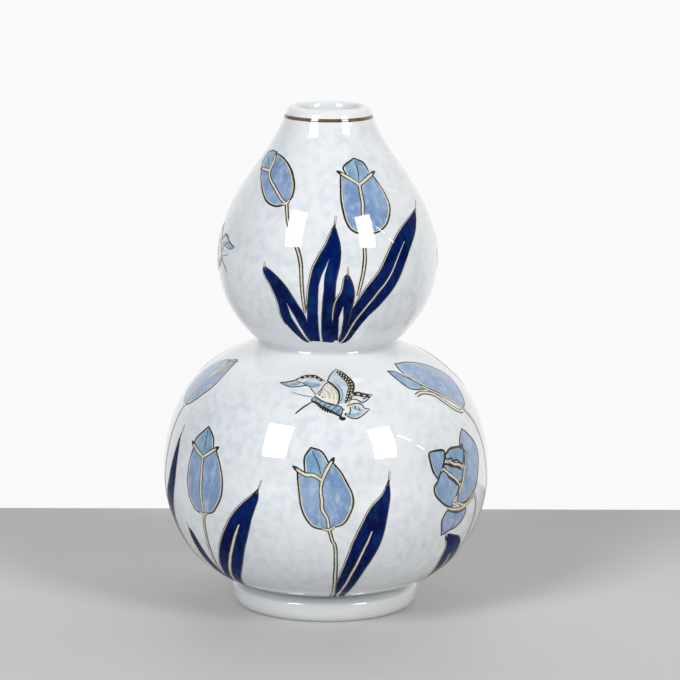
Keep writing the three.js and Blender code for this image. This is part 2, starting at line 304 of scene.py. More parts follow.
def noise(tree, place, scale, detail=2.0, roughness=0.5):
    """Noise from 0 to 1, with features about one metre over scale wide."""
    inputs = {"Vector": place, "Scale": scale, "Detail": detail, "Roughness": roughness}
    return flow(tree, "TexNoise", inputs)


def spread(tree, value, low, high, to_low=0.0, to_high=1.0):
    """A value between low and high, stretched smoothly over a new range."""
    inputs = {"Value": value, "From Min": low, "From Max": high, "To Min": to_low, "To Max": to_high}
    return flow(tree, "MapRange", inputs, interpolation_type="SMOOTHSTEP")


def blend_colours(tree, share, first, second):
    """Two colours, or sockets of colour, mixed by a share."""
    # The Mix node keeps its two colours at places 6 and 7, and their mix at place 2.
    return add_node(tree, "Mix", {0: share, 6: first, 7: second}, data_type="RGBA")[2]


# %% The two glazes
white_clay = (0.70, 0.725, 0.745, 1)
wash_blue = (0.49, 0.55, 0.63, 1)
# Painted shade: the foot's glaze is greyer than the clay of the bulbs.
shaded_foot_white = (0.62, 0.64, 0.655, 1)
# Pooled glaze and painted shade: this grey darkens the glaze in the waist's crease and on the foot's ledge
# under the bulb.
pooled_and_shaded_grey = (0.42, 0.45, 0.47, 1)
biscuit = (0.72, 0.69, 0.63, 1)

spot_scale, spot_range = 250, (0.38, 0.68)
cloud_scale, cloud_range = 60, (0.25, 0.75)
foot_fade, lip_fade = 0.012, 0.006
waist_fade = (0.002, 0.018)
# The band about the waist's crease that is painted grey, as pooled glaze and painted shade.
waist_pool_and_shade = (0.0003, 0.0016)
wiped_edge = (0.0003, 0.0007)
# The ledge's band of pooled glaze and painted shadow, in metres of height.
ledge_pool_and_shadow = (foot_height - 0.0002, foot_height + 0.001)


def make_glaze():
    finish, tree, shader = new_finish("dabbed_glaze", roughness=0.07)
    place = object_place(tree)
    height = split(tree, place)["Z"]
    spots = spread(tree, noise(tree, place, spot_scale, 2.5), *spot_range)
    clouds = spread(tree, noise(tree, place, cloud_scale), *cloud_range)
    strength = maths(tree, "MULTIPLY", spots, maths(tree, "MULTIPLY_ADD", clouds, 0.5, 0.5))
    strength = maths(tree, "MULTIPLY_ADD", clouds, 0.12, maths(tree, "MULTIPLY", strength, 0.5))
    above_foot = spread(tree, height, seat_height, seat_height + foot_fade)
    from_waist = maths(tree, "ABSOLUTE", maths(tree, "SUBTRACT", height, waist_height))
    off_waist = spread(tree, from_waist, *waist_fade, 0.15, 1.0)
    below_lip = spread(tree, height, neck_height - lip_fade, neck_height, 1.0, 0.0)
    zone = maths(tree, "MULTIPLY", maths(tree, "MULTIPLY", above_foot, off_waist), below_lip)
    painted = maths(tree, "MULTIPLY", strength, zone)
    colour = blend_colours(tree, painted, white_clay, wash_blue)
    # Pooled glaze and painted shade: the colour turns grey right at the waist's crease.
    waist_pool_and_shade_share = spread(tree, from_waist, *waist_pool_and_shade, 0.75, 0.0)
    colour = blend_colours(tree, waist_pool_and_shade_share, colour, pooled_and_shaded_grey)
    tree.links.new(colour, shader.inputs["Base Color"])
    ripple = flow(tree, "Bump", {"Height": noise(tree, place, 70, 1), "Strength": 0.05, "Distance": 0.0004})
    tree.links.new(ripple, shader.inputs["Normal"])
    return finish


def make_foot_glaze():
    """Glaze painted grey-white as shade, greyer on the ledge under the bulb as pooled glaze and painted
    shadow, and wiped off where the ring stands.
    """
    finish, tree, shader = new_finish("foot_glaze", roughness=0.08)
    place = object_place(tree)
    height = split(tree, place)["Z"]
    wiped = maths(tree, "SUBTRACT", 1.0, spread(tree, height, *wiped_edge))
    grain = maths(tree, "MULTIPLY_ADD", noise(tree, place, 900, 3), 0.3, 0.5)
    # Pooled glaze and painted shadow: the ledge just under the bulb turns greyer, broken up by a fine grain.
    ledge_pool_and_shadow_share = maths(tree, "MULTIPLY", spread(tree, height, *ledge_pool_and_shadow), grain)
    glazed = blend_colours(tree, ledge_pool_and_shadow_share, shaded_foot_white, pooled_and_shaded_grey)
    tree.links.new(blend_colours(tree, wiped, glazed, biscuit), shader.inputs["Base Color"])
    tree.links.new(maths(tree, "MULTIPLY_ADD", wiped, 0.6, 0.08), shader.inputs["Roughness"])
    return finish


glaze = make_glaze()
foot_glaze = make_foot_glaze()
print("made", glaze.name, "and", foot_glaze.name)

# %% [markdown]
# Turning the clay
#
# Each clay ring is a closed outline of radius and height, turned about the
# upright axis. The Spin tool or a Screw modifier would do it too. A small node
# tree is used because it says the rule openly: a grid has one column of points
# for each cut round the vase, every column reads the same outline, and its
# angle is its column's number times one cut. The last column lands on the
# first, and merging closes the seam.


# %% The turning tree
def make_turning_tree():
    tree, start, end = new_shape_tree("turn_on_the_wheel", {"Cuts": "Int", "Finish": "Material"})
    count = add_node(tree, "AttributeDomainSize", {"Geometry": start["Geometry"]})["Point Count"]
    columns = maths(tree, "ADD", start["Cuts"], 1.0)
    grid = flow(tree, "MeshGrid", {"Vertices X": columns, "Vertices Y": count})
    index = flow(tree, "InputIndex")
    column = maths(tree, "FLOOR", maths(tree, "DIVIDE", maths(tree, "ADD", index, 0.5), count))
    row = maths(tree, "SUBTRACT", index, maths(tree, "MULTIPLY", column, count))
    point = split(tree, flow(tree, "SampleIndex", {
        "Geometry": start["Geometry"], "Value": flow(tree, "InputPosition"), "Index": row,
    }, data_type="FLOAT_VECTOR"))
    angle = maths(tree, "MULTIPLY", column, maths(tree, "DIVIDE", math.tau, start["Cuts"]))
    turned = about_the_axis(tree, point["X"], angle, point["Z"])
    shape = flow(tree, "SetPosition", {"Geometry": grid, "Position": turned})
    closed = flow(tree, "MergeByDistance", {"Geometry": shape, "Distance": 1e-6})
    outer = flow(tree, "FlipFaces", {"Mesh": closed})
    smooth = flow(tree, "SetShadeSmooth", {"Geometry": outer})
    real = flow(tree, "RealizeInstances", {"Geometry": smooth})
    dressed = flow(tree, "SetMaterial", {"Geometry": real, "Material": start["Finish"]})
    tree.links.new(dressed, end)
    return tree


turning_tree = make_turning_tree()
cuts = 200
print("a ring is turned in", cuts, "cuts")


# %% Outlines of the inner wall
def waist_round(count):
    """The round inside the waist, where both inner walls turn about it."""
    angles = np.linspace(waist_slope_below + 90, waist_slope_above + 90, count)
    return np.array([np.array(waist) + heading(angle) * wall for angle in angles])


lower, upper = sides["lower"], sides["upper"]
every = 20
inner_wall = np.vstack([
    (lower.points - lower.outwards * wall)[::every],
    waist_round(7),
    (upper.points - upper.outwards * wall)[::every],
])
inner_wall = inner_wall[np.argsort(inner_wall[:, 1])]
joint_margin = 0.0005


def inner_radius(height):
    return np.interp(height, inner_wall[:, 1], inner_wall[:, 0])


def inner_between(low, high):
    """Inner wall from one height to the other, walked downwards."""
    heights = inner_wall[:, 1]
    inside = inner_wall[(heights > low + joint_margin) & (heights < high - joint_margin)]
    return np.vstack([[inner_radius(low), low], inside, [inner_radius(high), high]])[::-1]


# %% Turning one ring
def turned_piece(name, outline, finish):
    """A closed outline of radius and height becomes a turned piece."""
    loop = np.vstack([outline, outline[:1]])
    source = bpy.data.meshes.new(name)
    source.from_pydata([(radius, 0, height) for radius, height in loop], [], [])
    return grow(name, source, turning_tree, {"Cuts": cuts, "Finish": finish})


ring_step = 0.0009


def clay_ring(name, side, low, high):
    """The part of a bulb's wall between two joints."""
    outside, _ = side.between(low, high, ring_step)
    return turned_piece(name, np.vstack([outside, inner_between(low, high)]), glaze)


# %% [markdown]
# One smooth glaze over the joints
#
# The real vase is fired in one, so no joint shows in its reflections. A mesh
# that is smoothed on its own would bend the light at its last ring, because it
# knows nothing of its neighbour. The way out of the clay is known exactly from
# the side's own curve, so it is written onto the outer faces of each ring.
# Merging all the rings would hide the joints too, but then the vase would no
# longer be an assembly.


# %% Exact shading on the outside
sharp_edge = math.radians(35)
facing_out = 0.35


def values_of(items, label, kind=float, size=3):
    """One row of values for each of a mesh's items."""
    values = np.zeros(len(items) * size, kind)
    items.foreach_get(label, values)
    return values.reshape(-1, size)


def shade_as_side(piece, side, depth=1e-5):
    """Outer faces that lie within depth of the side's surface shade as the side does."""
    mesh = piece.data
    mesh.set_sharp_from_angle(angle=sharp_edge)
    corners = values_of(mesh.loops, "vertex_index", int, 1)[:, 0]
    at = values_of(mesh.vertices, "co")[corners]
    counts = values_of(mesh.polygons, "loop_total", int, 1)[:, 0]
    looks = np.repeat(values_of(mesh.polygons, "normal"), counts, axis=0)
    radius = np.maximum(np.hypot(at[:, 0], at[:, 1]), 1e-9)
    level = side.at_height(side.outwards[:, 1], at[:, 2])
    flat = side.at_height(side.outwards[:, 0], at[:, 2])
    way = np.column_stack([flat * at[:, 0] / radius, flat * at[:, 1] / radius, level])
    near = abs(radius - side.at_height(side.points[:, 0], at[:, 2])) * abs(flat) < depth
    low, high = side.points[0, 1], side.points[-1, 1]
    near &= (at[:, 2] > low - depth) & (at[:, 2] < high + depth)
    outer = near & (np.einsum("ij,ij->i", way, looks) > facing_out)
    mesh.normals_split_custom_set(np.where(outer[:, None], way, 0).tolist())


def finish_piece(piece, material_slot, *nodes):
    """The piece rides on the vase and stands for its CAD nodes."""
    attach(piece, "root")
    if nodes:
        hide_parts(*nodes)
    triangles = sum(len(face.vertices) - 2 for face in piece.data.polygons)
    print(piece.name, "has", triangles, "triangles")


# %% The four rings of the bulbs
ring_plan = {
    "upper_bulb_bowl": (upper, waist_height, upper_belly[1]),
    "upper_bulb_shoulder": (upper, upper_belly[1], neck_joint_height),
    "lower_bulb_dome": (lower, lower_belly[1], waist_height),
}
for node, (side, low, high) in ring_plan.items():
    ring = clay_ring(f"glazed_{node}", side, low, high)
    shade_as_side(ring, side)
    finish_piece(ring, "porcelain", node)

# %% The lower bowl with the vase's floor
bowl_side, _ = lower.between(seat_height, lower_belly[1], ring_step)
bowl_inside = inner_between(inner_wall[0, 1], lower_belly[1])
spigot_radius = stand_radius - stand_width - spigot_gap
bowl_outline = np.vstack([
    [[0, foot_recess], [spigot_radius, foot_recess], [spigot_radius, seat_height]],
    bowl_side,
    bowl_inside[:-1],
    [[floor_radius, floor_height], [0, floor_height]],
])
bowl = turned_piece("glazed_lower_bulb_bowl", bowl_outline, glaze)
shade_as_side(bowl, lower)
finish_piece(bowl, "porcelain", "lower_bulb_bowl")

# %% [markdown]
# The foot and the lip
#
# The foot is a ring with a softly rounded side, its glaze painted a little
# grey as shade. Its top falls outwards as a narrow ledge, where pooled glaze
# and a painted shadow of the bulb make it greyer still, and the edge it stands
# on is wiped clean, so bare clay shows there. The lip is a thick round bead
# that rolls from the neck over its crest into the mouth.

# %% Foot ring and mouth ring
bore = stand_radius - stand_width
foot_edge = 0.0006
foot_crown = foot_height - foot_edge
foot_side = bend([
    (stand_radius, 0), (foot_radius, foot_height * foot_tuck), (foot_radius, foot_crown),
], 16)
foot_shoulder = bend([
    (foot_radius, foot_crown), (foot_radius, foot_height),
    (foot_radius - foot_edge * 0.6, foot_height + foot_edge * 0.7),
], 5)
foot_outline = np.vstack([
    [[bore, foot_edge], [bore + foot_edge * 0.7, 0]], foot_side, foot_shoulder[1:], [seat],
    [[bore, seat_height]],
])
foot = turned_piece("glazed_foot_ring", foot_outline, foot_glaze)
foot.data.set_sharp_from_angle(angle=sharp_edge)
finish_piece(foot, "porcelain", "foot_ring")

neck_side, _ = upper.between(neck_joint_height, neck_height, ring_step)
crest = (lip_crest_radius, lip_height)
mouth = np.array([mouth_radius, lip_height - mouth_depth])
lip_outside = bend([
    neck, np.array(neck) + heading(neck_slope) * lip_rise / 2,
    ((neck_radius + lip_crest_radius) / 2, lip_height), crest,
], 12)
lip_inside = bend([crest, (mouth_radius, lip_height), mouth], 10)
neck_inside = bend([
    mouth, mouth - np.array([0, mouth_depth / 2]), (inner_radius(neck_joint_height), neck_joint_height),
], 6)
mouth_outline = np.vstack([neck_side, lip_outside[1:], lip_inside[1:], neck_inside[1:]])
mouth_ring = turned_piece("glazed_mouth_ring", mouth_outline, glaze)
shade_as_side(mouth_ring, upper)
finish_piece(mouth_ring, "porcelain", "mouth_ring")

# %% [markdown]
# Glaze in the waist
#
# Melted glaze runs down the upper bulb and gathers in the sharp crease of the
# waist, so the light finds a small soft curve there and draws two thin bright
# dashes along it. A bevel can't round a crease between two pieces, so the
# pooled glaze is a ring of its own. Its outside leaves the dome and meets the
# upper bulb without a corner, and its back lies just inside the clay.

# %% The pooled glaze
pool_reach = 0.0022
pool_pull = 0.48
pool_search = 0.01
pool_sink = 0.0006
crease = np.array(waist)


def pool_end(side, low, high):
    """The point of a side that lies one reach from the crease."""
    line, _ = side.between(low, high, 0.0001)
    return line[np.argmin(abs(np.linalg.norm(line - crease, axis=1) - pool_reach))]


pool_low = pool_end(lower, waist_height - pool_search, waist_height)
pool_high = pool_end(upper, waist_height, waist_height + pool_search)
pool_face = bend([
    pool_low, pool_low + (crease - pool_low) * pool_pull,
    pool_high + (crease - pool_high) * pool_pull, pool_high,
], 25)
pool = turned_piece("pooled_waist_glaze", np.vstack([pool_face, [crease - [pool_sink, 0]]]), glaze)
pool.data.set_sharp_from_angle(angle=sharp_edge)
finish_piece(pool, "porcelain")

# %% [markdown]
# Paints
#
# The washes on the petals, leaves and wings are thin colour under the glaze, so
# each is a few shades of one colour that drift into each other. A dark olive
# line goes round every shape, and a cream line lies where two petals meet. They
# could be drawn as a texture, but strokes of real geometry stay crisp however
# close the camera comes, so each finish here only has to colour one stroke.


# %% Finishes of the painting
def make_paint(name, shades, scale, stretch=1.0, coat=1.0, gloss=0.12):
    """Three shades of one colour that drift into each other, longer up the vase by stretch."""
    finish, tree, shader = new_finish(name, 0.08, coat, gloss)
    drawn = flow(tree, "Mapping", {"Vector": object_place(tree), "Scale": (1, 1, 1 / stretch)})
    broad = spread(tree, noise(tree, drawn, scale), 0.35, 0.65)
    narrow = spread(tree, noise(tree, drawn, scale * 3.1, 3, 0.6), 0.42, 0.72)
    first, second, third = ((*shade, 1) for shade in shades)
    drift = blend_colours(tree, broad, first, second)
    colour = blend_colours(tree, maths(tree, "MULTIPLY", narrow, 0.7), drift, third)
    tree.links.new(colour, shader.inputs["Base Color"])
    return finish


petal_wash = make_paint(
    "petal_wash", [(0.145, 0.24, 0.43), (0.215, 0.32, 0.49), (0.37, 0.475, 0.60)], 120, 2)
rear_petal_wash = make_paint(
    "rear_petal_wash", [(0.14, 0.27, 0.42), (0.22, 0.36, 0.48), (0.37, 0.48, 0.58)], 160, 2)
leaf_wash = make_paint(
    "leaf_wash", [(0.0003, 0.003, 0.045), (0.0006, 0.008, 0.095), (0.0015, 0.032, 0.11)], 110, 2,
    coat=0.05, gloss=0.03)
wing_wash = make_paint(
    "wing_wash", [(0.49, 0.56, 0.62), (0.61, 0.64, 0.67), (0.29, 0.42, 0.48)], 210)
body_wash = make_paint(
    "body_wash", [(0.13, 0.25, 0.42), (0.24, 0.38, 0.50), (0.36, 0.46, 0.49)], 260)
fan_wash = make_paint(
    "fan_wash", [(0.70, 0.68, 0.60), (0.74, 0.73, 0.68), (0.58, 0.52, 0.38)], 240)
dark_line = make_paint(
    "dark_line", [(0.010, 0.0095, 0.0075), (0.030, 0.025, 0.015), (0.085, 0.068, 0.036)], 320)
cream_line = make_paint(
    "cream_line", [(0.64, 0.57, 0.41), (0.70, 0.66, 0.53), (0.47, 0.43, 0.32)], 260)
rim_brown = make_paint(
    "rim_brown", [(0.20, 0.115, 0.04), (0.12, 0.072, 0.027), (0.045, 0.032, 0.017)], 60)
print("made the paints")

# %% [markdown]
# The brush
#
# A painter works along the wall of the vase, so each motif is drawn on its own
# flat sheet first: across the bulb one way, along its side the other. The node
# tree then does three things. It lets the hand waver a little, it turns every
# drawn line into a flat stroke of paint and gives every wash a top and an
# underside, and it lays the sheet on the bulb: the distance along the side
# picks a point of the side, the distance across becomes an angle about the
# axis, and the film of paint is the height above the clay. Shrinkwrap could
# press a flat drawing on the bulb too, but it would stretch it.


# %% The brush tree
wash_tone, back_tone, accent_tone, line_tone, cream_tone = 0, 0.2, 0.4, 1, 2
# Each paint covers the faces whose tone is above its number.
paint_tones = {"Wash": -0.5, "Behind": 0.1, "Accent": 0.3, "Line": 0.5, "Relief": 1.5}
waver_scale = 75.0
full_crown = 0.00016


def make_brush_tree():
    numbers = ("Middle", "Film", "Under", "Hand", "Seed")
    tree, start, end = new_shape_tree("brush_on_the_bulb", {
        "Side": "Object", **dict.fromkeys(numbers, "Float"), **dict.fromkeys(paint_tones, "Material"),
    })
    place = flow(tree, "InputPosition")
    waver = add_node(tree, "TexNoise", {
        "Vector": place, "W": start["Seed"], "Scale": waver_scale, "Detail": 2.0,
    }, noise_dimensions="4D")["Color"]
    centred = flow(tree, "VectorMath", {0: waver, 1: (0.5, 0.5, 0.5)}, operation="SUBTRACT")
    shift = flow(tree, "VectorMath", {0: centred, "Scale": start["Hand"]}, operation="SCALE")
    drawn = flow(tree, "SetPosition", {"Geometry": start["Geometry"], "Offset": shift})
    half_width = read(tree, "half_width")
    is_line = maths(tree, "GREATER_THAN", half_width, 0.0)
    parts = add_node(tree, "SeparateGeometry", {"Geometry": drawn, "Selection": is_line})

    path = flow(tree, "MeshToCurve", {"Mesh": parts["Selection"]})
    level = flow(tree, "SetCurveNormal", {"Curve": path}, mode="Z_UP")
    tip = flow(tree, "CurvePrimitiveCircle", {"Resolution": 8, "Radius": 1.0})
    bulge = maths(tree, "MULTIPLY", split(tree, place)["Y"], -1.6, clamp=True)
    stroke = flow(tree, "CurveToMesh", {
        "Curve": level, "Profile Curve": store(tree, tip, "tip_crown", bulge),
        "Scale": half_width, "Fill Caps": True,
    })
    thin_end = maths(tree, "DIVIDE", half_width, full_crown, clamp=True)
    strokes = store(tree, stroke, "crown", maths(tree, "MULTIPLY", read(tree, "tip_crown"), thin_end))
    underside = flow(tree, "FlipFaces", {"Mesh": store(tree, parts["Inverted"], "crown", 0.0)})
    joined = tree.nodes.new("GeometryNodeJoinGeometry")
    for part in (strokes, parts["Inverted"], underside):
        tree.links.new(part, joined.inputs["Geometry"])

    tone = read(tree, "tone")
    depth = maths(tree, "MULTIPLY", start["Under"], maths(tree, "MULTIPLY_ADD", tone, 0.5, 1.0))
    film = maths(tree, "MULTIPLY", start["Film"], maths(tree, "ADD", tone, 1.0))
    top = maths(tree, "MULTIPLY", read(tree, "crown"), maths(tree, "ADD", depth, film))
    lift = maths(tree, "SUBTRACT", top, depth)
    sheet = split(tree, place)
    guide = add_node(tree, "ObjectInfo", {"Object": start["Side"]})["Geometry"]
    found = add_node(tree, "SampleCurve", {"Curves": guide, "Length": sheet["Y"]},
                     mode="LENGTH", use_all_curves=True)
    wall_point, way_up = split(tree, found["Position"]), split(tree, found["Tangent"])
    angle = maths(tree, "ADD", start["Middle"], maths(tree, "DIVIDE", sheet["X"], wall_point["X"]))
    radius = maths(tree, "MULTIPLY_ADD", lift, way_up["Z"], wall_point["X"])
    height = maths(tree, "SUBTRACT", wall_point["Z"], maths(tree, "MULTIPLY", lift, way_up["X"]))
    laid = about_the_axis(tree, radius, angle, height)
    painted = flow(tree, "SetPosition", {"Geometry": joined.outputs["Geometry"], "Position": laid})
    is_wash = maths(tree, "LESS_THAN", tone, paint_tones["Line"])
    closed = flow(tree, "MergeByDistance", {"Geometry": painted, "Distance": 2e-6, "Selection": is_wash})
    smooth = flow(tree, "SetShadeSmooth", {"Geometry": closed})
    dressed = flow(tree, "RealizeInstances", {"Geometry": smooth})
    for paint, least in paint_tones.items():
        covered = maths(tree, "GREATER_THAN", tone, least)
        dressed = flow(tree, "SetMaterial", {
            "Geometry": dressed, "Material": start[paint], "Selection": covered,
        })
    tree.links.new(dressed, end)
    return tree


brush_tree = make_brush_tree()


def side_guide(side):
    """The side as a curve that the brush tree measures along."""
    data = bpy.data.curves.new(f"{side.name}_side", "CURVE")
    data.dimensions = "3D"
    line = data.splines.new("POLY")
    line.points.add(len(side.points) - 1)
    line.points.foreach_set("co", [
        value for radius, height in side.points for value in (radius, 0, height, 1)
    ])
    return new_object(data.name, data)


guides = {name: side_guide(side) for name, side in sides.items()}
print("guides", list(guides))


# %% Lines through points
points_between = 24


def spaced(line, count):
    """The same line as this many evenly spaced points."""
    line = np.asarray(line, float)
    steps = np.linalg.norm(np.diff(line, axis=0), axis=1)
    lengths = np.concatenate([[0], np.cumsum(steps)])
    where = np.linspace(0, lengths[-1], count)
    return np.column_stack([np.interp(where, lengths, column) for column in line.T])


def length_of(line):
    return np.linalg.norm(np.diff(line, axis=0), axis=1).sum()


def through(points, step=0.0005):
    """A smooth line that passes through all these points."""
    points = [np.asarray(point, float) for point in points]
    ends = [2 * points[0] - points[1], *points, 2 * points[-1] - points[-2]]
    t = np.linspace(0, 1, points_between + 1)[:-1, None]
    parts = []
    for a, b, c, d in zip(ends, ends[1:], ends[2:], ends[3:]):
        bow = t**2 * (a - 2.5 * b + 2 * c - d / 2) + t**3 * (1.5 * (b - c) + (d - a) / 2)
        parts.append(b + t * (c - a) / 2 + bow)
    line = np.vstack([*parts, points[-1]])
    return spaced(line, max(5, round(length_of(line) / step)))


def inset(one, other, margin):
    """Two edges moved towards each other by this margin, less where they meet."""
    rows = max(len(one), len(other))
    one, other = spaced(one, rows), spaced(other, rows)
    across = other - one
    gap = np.maximum(np.linalg.norm(across, axis=1), 1e-6)
    step = across * (np.minimum(margin, gap * 0.3) / gap)[:, None]
    return one + step, other - step


# %% The flat sheet of one motif
wash_step = 0.0009
finest_pen = 0.00003


class Sheet:
    """A motif's strokes on a flat sheet, in metres: across the bulb, and along its side."""

    def __init__(self, side, middle):
        self.side = side
        self.middle = middle
        self.degree = math.radians(1) * side.belly
        self.count = 0
        self.points, self.edges, self.faces = [], [], []
        self.values = {"tone": [], "crown": [], "half_width": []}

    def spot(self, place):
        """A place, in degrees round the vase and percent of the side's length, on the sheet."""
        along = place[1] / 100 * self.side.length
        radius = self.side.at_length(self.side.points[:, 0], along)
        return np.array([math.radians(place[0] - self.middle) * radius, along])

    def keep(self, points, tone, crown, half_width):
        first = self.count
        self.count += len(points)
        self.points.append(points)
        for name, value in (("tone", tone), ("crown", crown), ("half_width", half_width)):
            self.values[name].append(np.broadcast_to(value, len(points)))
        return first

    def wash(self, left, right, tone=wash_tone):
        """Colour between two edges that run the same way."""
        shares = np.array([0, 0.05, 0.2, 0.4, 0.6, 0.8, 0.95, 1])
        rows = max(6, round(max(length_of(left), length_of(right)) / wash_step))
        left, right = spaced(left, rows), spaced(right, rows)
        up, over = np.diff(left, axis=0), right[:-1] - left[:-1]
        if (up[:, 0] * over[:, 1] - up[:, 1] * over[:, 0]).sum() > 0:
            left, right = right, left
        grid = left[:, None] * (1 - shares)[None, :, None] + right[:, None] * shares[None, :, None]
        inside = np.zeros(grid.shape[:2])
        inside[1:-1, 1:-1] = 1
        first = self.keep(grid.reshape(-1, 2), tone, inside.ravel(), 0)
        wide = len(shares)
        for row in range(rows - 1):
            for column in range(wide - 1):
                corner = first + row * wide + column
                self.faces.append((corner, corner + 1, corner + wide + 1, corner + wide))

    def pen(self, line, width, tone=line_tone, start=0.3, finish=0.3):
        """A stroke of this width along a line, thinner at its start and finish."""
        line = np.asarray(line)
        shares = np.linspace(0, 1, len(line))
        press = np.interp(shares, [0, 0.12, 0.5, 0.88, 1], [start, 0.9, 1.08, 0.9, finish])
        first = self.keep(line, tone, 0, np.maximum(press * width / 2, finest_pen))
        self.edges.extend((first + i, first + i + 1) for i in range(len(line) - 1))

    def cord(self, line, width, core, start=0.3, finish=0.3):
        """A cream stroke with a dark edge on both sides."""
        self.pen(line, width, line_tone, start, finish)
        self.pen(line, core, cream_tone, start, finish)

    def mesh(self, name):
        made = bpy.data.meshes.new(name)
        flat = np.vstack(self.points)
        made.from_pydata(np.column_stack([flat, np.zeros(len(flat))]).tolist(), self.edges, self.faces)
        for label, values in self.values.items():
            layer = made.attributes.new(label, "FLOAT", "POINT")
            layer.data.foreach_set("value", np.concatenate(values).astype(np.float32))
        return made


# %% Laying a sheet on the vase
film = 0.00005
under = 0.00004
hand = 0.0009
halves = {"near": 0, "far": 180}


def lay(name, sheet, washes, material_slot):
    """The sheet is painted on the near half, and by the same hand again on the far half."""
    for number, (half, turn) in enumerate(halves.items()):
        node = f"{name}_{half}"
        piece = grow(f"painted_{node}", sheet.mesh(node), brush_tree, {
            "Side": guides[sheet.side.name], "Middle": math.radians(sheet.middle + turn),
            "Film": film, "Under": under, "Hand": hand, "Seed": 3.0 + 5 * number,
            "Wash": washes[0], "Behind": washes[1], "Accent": washes[-1],
            "Line": dark_line, "Relief": cream_line,
        })
        shade_as_side(piece, sheet.side, 4e-4)
        finish_piece(piece, material_slot, node)


def paint_motif(name, middle, paint, drawings, washes, material_slot):
    """All the drawings of one motif are painted on one sheet, which is laid on its bulb."""
    sheet = Sheet(sides[name.split("_")[0]], middle)
    for drawing in drawings:
        paint(sheet, drawing)
    lay(name, sheet, washes, material_slot)


# %% [markdown]
# Tulips
#
# A closed tulip shows two broad petals in front, which meet in a cream seam,
# and a third petal behind them. The seam forks near the top into two arms,
# whose points stick out over the petals. Petals could be small separate
# shapes, but drawing each flower in its own frame, in percents of its width
# and height, lets one function paint all of them, leaning and proportioned as
# each is on the vase.


# %% Frame and stem
stem_width, stem_core = 0.0021, 0.0008


def flower_frame(sheet, flower):
    """A place, and a line through places, from percents of the flower's width and height."""
    heart = sheet.spot(flower["heart"])
    along = heading(90 - flower["lean"]) * flower["height"] * sheet.degree / 100
    across = heading(-flower["lean"]) * flower["width"] * sheet.degree / 100

    def place(percents):
        return heart + across * percents[0] + along * percents[1]

    def line(points):
        return through([place(point) for point in points])

    return place, line


def paint_stem(sheet, top, places):
    """A cream stem with dark edges, from the flower down through these places."""
    line = through([top, *[sheet.spot(place) for place in places]])
    sheet.cord(line, stem_width, stem_core, 1, 0.6)


# %% Closed tulip
petal_margin = 0.0006
petal_line, back_line, vein_line = 0.0011, 0.0009, 0.0005
arm_width, arm_core = 0.0024, 0.0014
seam_width, seam_core = 0.0022, 0.0011
heart_width, heart_core = 0.0019, 0.001
heart_line = [(-9, 1.5), (2, -1.5), (13, 1)]


def up_to(line, point):
    """The part of a line that ends where it comes closest to a point."""
    nearest = np.argmin(np.linalg.norm(line - point, axis=1))
    return line[:max(2, nearest + 1)]


def paint_closed_tulip(sheet, flower):
    place, line = flower_frame(sheet, flower)
    fork, back = flower["seam"][-1], flower["back"]
    paint_stem(sheet, place((2, -2)), flower["stem"])
    seam = line(flower["seam"])
    edges = line(flower["left"]), line(flower["right"])
    arms = line([fork, *flower["left_arm"]]), line([fork, *flower["right_arm"]])
    top = max(range(len(back)), key=lambda number: back[number][1])
    back_edges = line(back[:top + 1]), line(back[top:])
    behind = [
        np.vstack([up_to(arms[0], place(back[0])), back_edges[0][1:]]),
        np.vstack([up_to(arms[1], place(back[-1])), line(back[top:][::-1])[1:]]),
    ]
    sheet.wash(*inset(*behind, petal_margin), back_tone)
    for edge, arm in zip(edges, arms):
        outer, inner = inset(edge, np.vstack([seam, up_to(arm, edge[-1])[1:]]), petal_margin)
        sheet.wash(outer, inner)
        sheet.pen(outer[4:-4], vein_line, cream_tone, 0.2, 0.2)
    sheet.pen(back_edges[0], back_line, finish=0.8)
    sheet.pen(back_edges[1], back_line, start=0.8)
    vein = [back[top], ((back[top][0] + fork[0]) / 2 + 3, (back[top][1] + fork[1]) / 2), fork]
    sheet.pen(line(vein)[2:-3], vein_line)
    for edge in edges:
        sheet.pen(edge, petal_line, start=0.8, finish=0.6)
    for arm in arms:
        sheet.pen(arm, arm_width, line_tone, 1.1, 0.35)
        sheet.pen(arm[:-3], arm_core, cream_tone, 1.1, 0.1)
    sheet.cord(seam, seam_width, seam_core, 0.9, 1.2)
    sheet.cord(line(heart_line), heart_width, heart_core, 0.5, 0.5)


# %% [markdown]
# Opened tulips
#
# One flower on the right is blown open: a tall petal stands behind, one spreads
# to the left, a frilled one crosses the middle over a round front petal, and one
# hangs down. The flower high on the right is seen from its side, and its lowest
# petal curls, so only its edge shows. Each other petal is a wash between two
# edges with a line round it, laid from the back to the front.

# %% Opened tulip
cream_edge = 0.0008
curl_width, curl_core = 0.0027, 0.0014


def paint_opened_tulip(sheet, flower):
    place, line = flower_frame(sheet, flower)
    pen = flower["pen"]
    paint_stem(sheet, place(flower["stem_top"]), flower["stem"])
    for number, petal in enumerate(flower["petals"]):
        edges = [line(edge) for edge in petal]
        sheet.wash(*inset(*edges, petal_margin), back_tone if number in flower["rear"] else wash_tone)
        for edge in edges:
            sheet.pen(edge, pen, start=0.7, finish=0.6)
    for points in flower["creams"]:
        sheet.cord(line(points), pen + cream_edge, pen, 0.5, 0.5)
    for points in flower["curled"]:
        sheet.cord(line(points), curl_width, curl_core, 0.9, 0.8)
    for points, width in flower["darks"]:
        sheet.pen(line(points), width)


